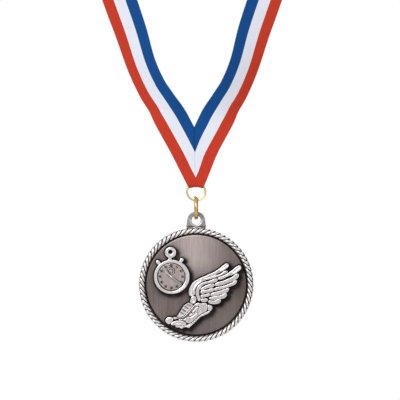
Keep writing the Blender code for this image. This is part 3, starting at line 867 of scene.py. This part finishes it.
def stopwatch():
    rim = ellipse((-10.8, 3.55), 7.2, 6.95, 16)
    step_in = ellipse((-10.95, 3.55), 6.5, 6.5, 16)
    case = relief(
        "stopwatch_case_look",
        ellipse((-10.8, 3.55), 7.85, 7.5),
        0.95,
        0.55,
        holes=[ellipse(DIAL, 6.3, 6.33)],
        grooves=[(rim + rim[:1], 0.16, 0.1, 0.12), (step_in + step_in[:1], 0.14, 0.12, 0.2)],
    )
    dial = relief(
        "stopwatch_dial_look", ellipse(DIAL, 5.95, 6.0), 0.4, 0.35, grooves=dial_cuts(), step=0.115, grow=0.0
    )
    dial.data.materials[0] = DULL
    write_values(dial, "light", np.full(len(dial.data.vertices), 0.66))
    hand = relief(
        "stopwatch_hand_look",
        HAND,
        0.26,
        0.3,
        base=FIELD + 0.4,
        ridges=[([(-11.15, 3.75), (-10.85, 3.5)], 0.3, 0.16, 1.0)],
        grooves=[([(-13.3, 5.4), (-12.2, 4.7)], 0.25, 0.08, 0.3)],
        grow=0.0,
        stain=0.42,
    )
    bow = relief(
        "stopwatch_bow_look",
        ellipse((-11.35, 14.3), 2.45, 2.4),
        0.75,
        0.75,
        0.3,
        holes=[ellipse((-11.4, 14.55), 0.95, 0.95, 8)],
    )
    stem = relief("stopwatch_stem_look", stem_outline(), 0.65, 0.5, 0.4)
    settle(case, "medal", "antique_silver_relief", "stopwatch_case")
    settle(dial, "medal", "antique_silver_field", "stopwatch_dial")
    settle(hand, "medal", "antique_silver_relief", "stopwatch_hand")
    settle(bow, "medal", "antique_silver_relief", "stopwatch_bow")
    settle(stem, "medal", "antique_silver_relief", "stopwatch_stem")
    for name, head in (("stopwatch_left_button", (-16.95, 10.1)), ("stopwatch_right_button", (-6.4, 11.05))):
        button = relief(name + "_look", button_outline(head, 0.8), 0.7, 0.7)
        settle(button, "medal", "antique_silver_relief", name)


stopwatch()

# Disc, rope and loop


def ease(value, low, high):
    t = np.clip((value - low) / (high - low), 0, 1)
    return t * t * (3 - 2 * t)


def medal_disc():
    """The crowned field with its groove, and a flat back with a fine raised rim."""
    turns = 360
    rings = [(r, FIELD - 0.05 * (r / 21.25) ** 2) for r in np.linspace(0.3, 21.3, 71)]
    rings += [(21.6, 0.94), (21.9, 0.88), (22.15, 0.75), (22.35, 0.58), (22.45, 0.4)]
    face_rings = len(rings)
    rings += [(22.7, 0.25), (23.6, 0.1), (23.6, -0.9), (22.7, -1.1), (22.45, -1.3)]
    rings += [(22.3, -1.46), (22.1, -1.5), (21.2, -1.5), (21.0, -1.42), (20.8, -1.36)]
    rings += [(r, -1.35) for r in np.linspace(20.4, 0.3, 34)]
    angles = np.linspace(0, math.tau, turns, endpoint=False)
    points = []
    for r, z in rings:
        points.append(np.column_stack([r * np.cos(angles), r * np.sin(angles), np.full(turns, z)]))
    flat = np.vstack(points)
    faces = []
    for ring in range(len(rings) - 1):
        for i in range(turns):
            j = (i + 1) % turns
            a = ring * turns
            faces.append((a + i, a + turns + i, a + turns + j, a + j))
    faces.append(tuple(range(turns)))
    faces.append(tuple(range(len(flat) - 1, len(flat) - turns - 1, -1)))
    obj = mesh_object("medal_disc_look", flat, faces, [DULL])
    front = flat[: face_rings * turns, :2]
    near = np.full(len(front), 9.0)
    # Painted shadow: each point's distance to the relief outlines, measured from the point moved up and to
    # the left, so that the shadow falls to the lower right of the relief.
    shadow_distance = np.full(len(front), 9.0)
    shift = np.array([0.9, -0.9])
    for line in OUTLINES:
        low = line.min(0) - 4.5
        high = line.max(0) + 4.5
        close = ((front > low) & (front < high)).all(1)
        chosen = front[close]
        coarse = line[::2]
        gap = distance(chosen - shift, coarse)
        gap[inside(chosen - shift, coarse)] = 0
        near[close] = np.minimum(near[close], distance(chosen, coarse))
        shadow_distance[close] = np.minimum(shadow_distance[close], gap)
    radius = np.hypot(front[:, 0], front[:, 1])
    # Patina in the hollow round the foot of the relief.
    halo = 0.95 * (1 - ease(near, 0.15, 0.95))
    # Painted cast shadow of the relief on the field, broad to its lower right.
    shade = 0.45 * (1 - ease(shadow_distance, 0.0, 1.8)) + 0.32 * (1 - ease(shadow_distance, 0.8, 4.0))
    # Darker towards the rope, most of all in the groove beside it.
    border = 0.85 * ease(radius, 21.75, 22.35) + 0.15 * ease(radius, 19.0, 21.6)
    patina_and_shadow = np.zeros(len(flat))
    patina_and_shadow[: len(front)] = np.clip(np.maximum(np.maximum(halo, shade), border), 0, 1)
    behind = np.hypot(flat[:, 0], flat[:, 1])
    back = np.arange(len(flat)) >= len(front)
    patina_and_shadow[back] = 0.25 + 0.6 * np.exp(-(((behind[back] - 21.0) / 0.35) ** 2))
    x = flat[:, 0]
    y = flat[:, 1]
    # Painted light: the field is painted lighter in the upper middle, with two soft painted pools of light at
    # the lower left and the lower right, and a painted shadow to the right of the wing.
    light = 0.165 + 0.59 * ease(y, -1, 12) * np.exp(-(((x + 1) / 11) ** 2))
    for place_x, place_y, size, rise in ((-18, -11, 5, 0.1), (12, -17, 6, 0.07), (17.5, 0, 5.5, -0.12)):
        light += rise * np.exp(-((x - place_x) ** 2 + (y - place_y) ** 2) / size**2)
    light[back] = 0.5
    write_values(obj, "patina_and_shadow", patina_and_shadow)
    write_values(obj, "light", light)
    settle(obj, "medal", "antique_silver_field", "medal_disc")


def rope_border():
    """Round strands laid into a rope, closed into a ring."""
    strands = 64
    lean = 4.1
    radius = 1.4
    centre_radius = MEDAL_RADIUS - radius
    around_steps = strands * 14
    section_steps = 30
    around, twist = np.meshgrid(
        np.linspace(0, math.tau, around_steps, endpoint=False),
        np.linspace(0, math.tau, section_steps, endpoint=False),
        indexing="ij",
    )
    phase = strands * around + lean * np.cos(twist) - 0.35 * np.cos(2 * twist)
    across = ((phase / math.tau) % 1.0) * 2 - 1
    crown = np.sqrt(np.maximum(0, 1 - across**2))
    shrink = 1 - 0.4 * (1 - crown**0.8)
    out = centre_radius + radius * np.cos(twist) * shrink
    up = radius * np.sin(twist) * shrink * 1.24 + 0.35
    points = np.column_stack([(out * np.cos(around)).ravel(), (out * np.sin(around)).ravel(), up.ravel()])
    faces = []
    for i in range(around_steps):
        j = (i + 1) % around_steps
        for k in range(section_steps):
            m = (k + 1) % section_steps
            faces.append(
                (i * section_steps + k, j * section_steps + k, j * section_steps + m, i * section_steps + m)
            )
    obj = mesh_object("rope_border_look", points, faces, [RELIEF])
    deep = 1 - ease(crown, 0.5, 0.9)
    low = (1 - ease(up, 0.3, 1.2)) * 0.45
    write_values(obj, "patina_and_shadow", np.maximum(deep, low).ravel())
    settle(obj, "medal", "antique_silver_relief", "rope_border")


def suspension_loop():
    """The tab with its hole, rimmed round the lower half of the hole."""
    outline = [(-4.15, 25.2), (-4.15, 26.2), (-4.0, 27.4), (-3.75, 29.0), (-3.3, 30.4), (-2.2, 31.6),
               (0.0, 32.2), (2.2, 31.6), (3.3, 30.4), (3.75, 29.0), (4.0, 27.4), (4.15, 26.2),
               (4.15, 25.2), (2.0, 25.45), (0.0, 25.55), (-2.0, 25.45)]
    hole = ellipse((0, HOLE_UP), HOLE_RADIUS, HOLE_RADIUS, 16)
    rim = [(2.55 * math.cos(a), HOLE_UP + 2.55 * math.sin(a)) for a in np.linspace(-math.pi, 0, 12)]
    obj = relief(
        "suspension_loop_look",
        outline,
        0.9,
        0.5,
        0.55,
        base=0.0,
        thickness=0.0,
        holes=[hole],
        stain=0.56,
        ridges=[(rim, 0.26, 0.12, 0.8)],
        grooves=[
            ([(-3.9, 25.6), (0, 25.9), (3.9, 25.6)], 0.35, 0.15, 0.9),
            ([(-3.2, 29.6), (-2.2, 30.9)], 0.5, 0.1, 0.7),
            ([(3.2, 29.6), (2.2, 30.9)], 0.5, 0.1, 0.7),
        ],
    )
    settle(obj, "medal", "antique_silver_field", "suspension_loop")


medal_disc()
rope_border()
suspension_loop()

# Rings


def jump_ring(name, radius, wire, join, paint, turned):
    """A bent wire ring with a butt join; its ends are slightly rounded over."""
    around_steps = 120
    section_steps = 24
    half = join / radius / 2
    angles = np.linspace(math.pi / 2 + half, math.pi / 2 + math.tau - half, around_steps)
    sizes = np.full(around_steps, wire)
    sizes[[0, -1]] = wire * 0.86
    sizes[[1, -2]] = wire * 0.97
    points = []
    for angle, size in zip(angles, sizes):
        for k in range(section_steps):
            turn = math.tau * k / section_steps
            r = radius + size * math.cos(turn)
            points.append((r * math.cos(angle), r * math.sin(angle), size * math.sin(turn)))
    faces = []
    for i in range(around_steps - 1):
        for k in range(section_steps):
            m = (k + 1) % section_steps
            a = i * section_steps
            faces.append((a + k, a + section_steps + k, a + section_steps + m, a + m))
    faces.append(tuple(range(section_steps)))
    last = (around_steps - 1) * section_steps
    faces.append(tuple(range(last + section_steps - 1, last - 1, -1)))
    obj = mesh_object(name, points, faces, [paint])
    obj.rotation_euler = turned
    return obj


link = jump_ring("link_ring_look", LINK_RADIUS, LINK_WIRE, 0.12, GOLD, (0, math.pi / 2, 0))
link.location = MEDAL_CENTRE + Vector((0, 0, LINK_CENTRE * MM))
settle(link, "link_ring", "gold_plate", "link_ring")
hoop = jump_ring("ribbon_ring_look", RING_RADIUS, RING_WIRE, 0.1, PALE_GOLD, (math.pi / 2, 0, 0))
hoop.location = MEDAL_CENTRE + Vector((0, 0, RING_CENTRE * MM))
settle(hoop, "ribbon_ring", "pale_gold_plate", "ribbon_ring")

# Ribbon

RIBBON_WIDTH = 15.0
THICKNESS = 0.46
MITRE_ANGLE = math.radians(26.5)
MITRE_CENTRE_UP = 53.1
FOLD_RADIUS = 0.88
FOLD_BOTTOM = 42.5
STRIPE_EDGE = 2.5
THREAD_BEHIND = 0.42
NEAR_END = 46.0  # the length from the mitre up to which the rows are closest
NECK_ROUTE = [
    (9.95, 0.0, 73.0, 4),
    (14.0, 0.0, 80.1, 30),
    (18.4, 0.2, 87.2, 33),
    (22.95, 0.3, 97.8, 30),
    (27.25, 0.3, 112.0, 19),
    (32.15, 0.0, 126.2, 12),
    (40.2, 1.0, 150.0, 14),
    (49.2, 4.0, 180.0, 24),
    (56.5, 11.0, 210.0, 38),
    (61.8, 24.0, 240.0, 54),
    (64.8, 42.0, 264.0, 70),
    (65.5, 62.0, 281.0, 86),
    (61.5, 84.0, 293.0, 108),
    (50.0, 103.0, 300.5, 132),
    (29.0, 115.5, 305.5, 158),
    (0.0, 119.5, 308.0, 180),
]


def neck_line():
    """The ribbon's centre line from the mitre to the nape, with the turn of its face in degrees."""
    route = np.array(NECK_ROUTE, float)
    before = 2 * route[0] - route[1]
    after = route[-2] * [-1, 1, 1, -1] + [0, 0, 0, 360]
    points = np.vstack([before, route, after])
    t = np.linspace(0, 1, 12, endpoint=False)[:, None]
    made = []
    for a, b, c, d in zip(points, points[1:], points[2:], points[3:]):
        made.append(
            0.5 * (2 * b + (c - a) * t + (2 * a - 5 * b + 4 * c - d) * t**2 + (3 * b - a - 3 * c + d) * t**3)
        )
    return np.vstack(made + [route[-1:]])


def drift(up):
    rise = np.clip((up - RING_CENTRE) / 90, 0, 1)
    return -1.8 * np.sin(rise * math.pi / 2)


class Strap:
    """One side of the neck ribbon, as a place and a facing at any length from the mitre's centre."""

    def __init__(self):
        along = np.array([math.sin(MITRE_ANGLE), 0, math.cos(MITRE_ANGLE)])
        start = np.array([0, 0, MITRE_CENTRE_UP])
        line = neck_line()
        lower = np.array([start + along * s for s in np.linspace(-20, 20, 41)])
        centres = np.vstack([lower, line[:, :3]])
        turns = np.concatenate([np.zeros(len(lower)), np.radians(line[:, 3])])
        gaps = np.linalg.norm(np.diff(centres, axis=0), axis=1)
        self.lengths = np.concatenate([[0], np.cumsum(gaps)]) - 20
        self.centres = centres
        self.turns = turns
        self.end = self.lengths[-1]
        tangents = np.gradient(centres, self.lengths, axis=0)
        tangents[-1] = (-1, 0, 0)
        self.tangents = tangents / np.linalg.norm(tangents, axis=1)[:, None]

    def at(self, s):
        """Centre, across and face vectors at each length."""
        centre = np.column_stack([np.interp(s, self.lengths, self.centres[:, k]) for k in range(3)])
        tangent = np.column_stack([np.interp(s, self.lengths, self.tangents[:, k]) for k in range(3)])
        tangent /= np.linalg.norm(tangent, axis=1)[:, None]
        turn = np.interp(s, self.lengths, self.turns)
        face = np.column_stack([np.sin(turn), -np.cos(turn), np.zeros(len(turn))])
        face -= tangent * (face * tangent).sum(1)[:, None]
        face /= np.linalg.norm(face, axis=1)[:, None]
        return centre, np.cross(tangent, face), face


def ribbon_section():
    """Round the ribbon's cross-section: place across it, and height over its middle."""
    half = RIBBON_WIDTH / 2
    thick = THICKNESS / 2
    edge = 0.2
    front = np.concatenate(
        [
            np.linspace(-half + edge, -STRIPE_EDGE, 12),
            np.linspace(-STRIPE_EDGE, STRIPE_EDGE, 13)[1:],
            np.linspace(STRIPE_EDGE, half - edge, 12)[1:],
        ]
    )
    loop = [(w, thick) for w in front]
    for angle in (35, 90, 145):
        a = math.radians(angle)
        loop.append((half - edge + edge * math.sin(a), thick * math.cos(a)))
    loop += [(w, -thick) for w in front[::-1]]
    for angle in (215, 270, 325):
        a = math.radians(angle)
        loop.append((-half + edge + edge * math.sin(a), thick * math.cos(a)))
    return np.array(loop)


def fold_under(x, up, over):
    """The mitred tip: the front comes forward over the ring, turns under it and goes up behind."""
    sag = 0.6 * np.clip(1 - (x / 3.3) ** 2, 0, 1)
    bottom = FOLD_BOTTOM + sag + THICKNESS / 2 + FOLD_RADIUS
    forward = FOLD_RADIUS * ease(51.0 - up, 0, 5.5)
    arc = np.clip(bottom - up, 0, None)
    angle = np.clip(arc / FOLD_RADIUS, 0, math.pi)
    spare = np.clip(arc - math.pi * FOLD_RADIUS, 0, None)
    bent = arc > 0
    back = np.where(bent, -(FOLD_RADIUS + over) * np.cos(angle), -forward - over)
    high = np.where(bent, bottom - (FOLD_RADIUS + over) * np.sin(angle) + spare * 1.3, up)
    close = ease(spare, 1.0, 3.2)
    back = np.where(spare > 0, back * (1 - close) + (0.62 + over) * close, back)
    return back, high


def stripe_at(across):
    """Blue, white or red, as a place in the list of stripes."""
    return 0 if across < -STRIPE_EDGE else 1 if across < STRIPE_EDGE else 2


def ribbon():
    """One woven strip, cut at the mitre and folded up behind at its tip."""
    strap = Strap()
    section = ribbon_section()
    w = section[:, 0]
    over = section[:, 1]
    start = -w / math.tan(MITRE_ANGLE)
    near = np.linspace(0, 1, 150)
    far = np.linspace(0, 1, 260)[1:]
    rows = []
    lengths = []
    for t in near:
        lengths.append(start + (NEAR_END - start) * t)
    for t in far:
        lengths.append(np.full(len(w), NEAR_END + (strap.end - NEAR_END) * t))
    for s in lengths:
        centre, across, face = strap.at(s)
        flat = centre + across * w[:, None]
        ripple = 0.09 * np.sin(s / 9.0) * np.sin(s / 23.0 + 1.0) * ease(s, 22, 40)
        seam = 0.38 * (1 - ease(np.abs(flat[:, 0]), 0.0, 0.5)) * (s < 20) * ease(flat[:, 2], 44, 47)
        low = flat[:, 2] < 53
        placed = flat + face * (over + ripple)[:, None]
        back, high = fold_under(flat[:, 0], flat[:, 2], over)
        placed[low, 1] = back[low]
        placed[low, 2] = high[low]
        placed[:, 1] += seam
        placed[:, 0] = np.maximum(placed[:, 0], 0.0)
        rows.append(placed)
    columns = len(w)
    right = np.array(rows)
    left = right[::-1][1:] * [-1, 1, 1]
    strip = np.vstack([right, left])
    # Above the fold both straps bow in towards the middle, the right one more than the left.
    bow = np.exp(-(((strip[..., 2] - 58) / 9) ** 2))
    strip[..., 0] -= bow * (0.9 * ease(strip[..., 0], 0, 5) - 0.3 * ease(-strip[..., 0], 0, 5))
    strip[..., 0] += drift(strip[..., 2])
    measured = np.vstack([np.array(lengths), 2 * strap.end - np.array(lengths)[::-1][1:]])
    count = len(strip)
    faces = []
    stripes = []
    for i in range(count - 1):
        for k in range(columns):
            m = (k + 1) % columns
            a = i * columns
            faces.append((a + k, a + m, a + columns + m, a + columns + k))
            middle = (w[k] + w[m]) / 2
            stripes.append(stripe_at(middle))
    caps = []
    for base, flip in ((0, False), ((count - 1) * columns, True)):
        for k in range(columns // 2 - 2):
            m = columns - 4 - k
            face = (base + k, base + m, base + m - 1, base + k + 1)
            caps.append(face if flip else face[::-1])
            stripes.append(stripe_at(w[k]))
    obj = mesh_object("neck_ribbon_look", strip.reshape(-1, 3), faces + caps, STRIPES, upright=True)
    obj.data.polygons.foreach_set("material_index", np.array(stripes, dtype=np.int32))
    layer = obj.data.uv_layers.new(name="weave")
    corners = np.zeros(len(obj.data.loops), dtype=np.int64)
    obj.data.loops.foreach_get("vertex_index", corners)
    flat_uv = np.column_stack([np.tile(w, count), measured.ravel()])
    layer.data.foreach_set("uv", flat_uv[corners].ravel().astype(np.float32))
    nodes = ("ribbon_left_strap", "ribbon_right_strap", "ribbon_neck_band", "ribbon_fold")
    settle(obj, "ribbon", "striped_ribbon", *nodes)
    return obj


def stitches(name, path, node):
    """Sewing thread as a run of stitches that dip into the ribbon at each end."""
    sides = 8
    points = []
    faces = []
    for (x0, y0, z0), (x1, y1, z1) in zip(path, path[1:]):
        a = np.array([x0, y0, z0])
        b = np.array([x1, y1, z1])
        way = (b - a) / np.linalg.norm(b - a)
        side = np.cross(way, [0, 1, 0])
        first = len(points)
        for t in np.linspace(0, 1, 7):
            dip = 0.16 * (2 * t - 1) ** 4
            for k in range(sides):
                turn = math.tau * k / sides
                out = side * math.cos(turn) * 0.13 + np.array([0, 1, 0]) * (math.sin(turn) * 0.1 - dip)
                points.append(tuple(a + (b - a) * t + out))
        for i in range(6):
            for k in range(sides):
                m = (k + 1) % sides
                c = first + i * sides
                faces.append((c + k, c + m, c + sides + m, c + sides + k))
    obj = mesh_object(name, points, faces, [THREAD], upright=True)
    settle(obj, "ribbon", "sewing_thread", node)
    return obj


def zigzag(start, end, half_width, count, behind):
    begin = np.array(start, float)
    finish = np.array(end, float)
    way = (finish - begin) / count
    side = np.array([-way[1], way[0]]) / np.hypot(*way) * half_width
    path = []
    for i in range(count + 1):
        x, z = begin + way * i + side * (1 if i % 2 else -1)
        path.append((x + float(drift(z)), behind, z))
    return path


strip = ribbon()
seam_path = zigzag((0, 52.0), (0, 70.0), 0.8, 16, THREAD_BEHIND)
bar_path = zigzag((-4.8, 49.4), (4.8, 49.4), 0.6, 14, THREAD_BEHIND)
mitre = stitches("mitre_stitching_look", seam_path, "mitre_stitching")
bar = stitches("fold_stitching_look", bar_path, "fold_stitching")

# Floor


def floor():
    mesh = bpy.data.meshes.new("floor")
    corners = [(x, y, FLOOR_HEIGHT) for x, y in ((-0.4, -0.55), (0.4, -0.55), (0.4, 0.3), (-0.4, 0.3))]
    mesh.from_pydata(corners, [], [(0, 1, 2, 3)])
    obj = bpy.data.objects.new("floor", mesh)
    bpy.context.scene.collection.objects.link(obj)
    paint = Paint("pale_floor", Roughness=0.8)
    speck = paint.noise(40, 2)
    paint.join(paint.blend(speck, (0.8, 0.8, 0.8), (0.84, 0.84, 0.84)), paint.shader.inputs["Base Color"])
    mesh.materials.append(paint.material)


floor()
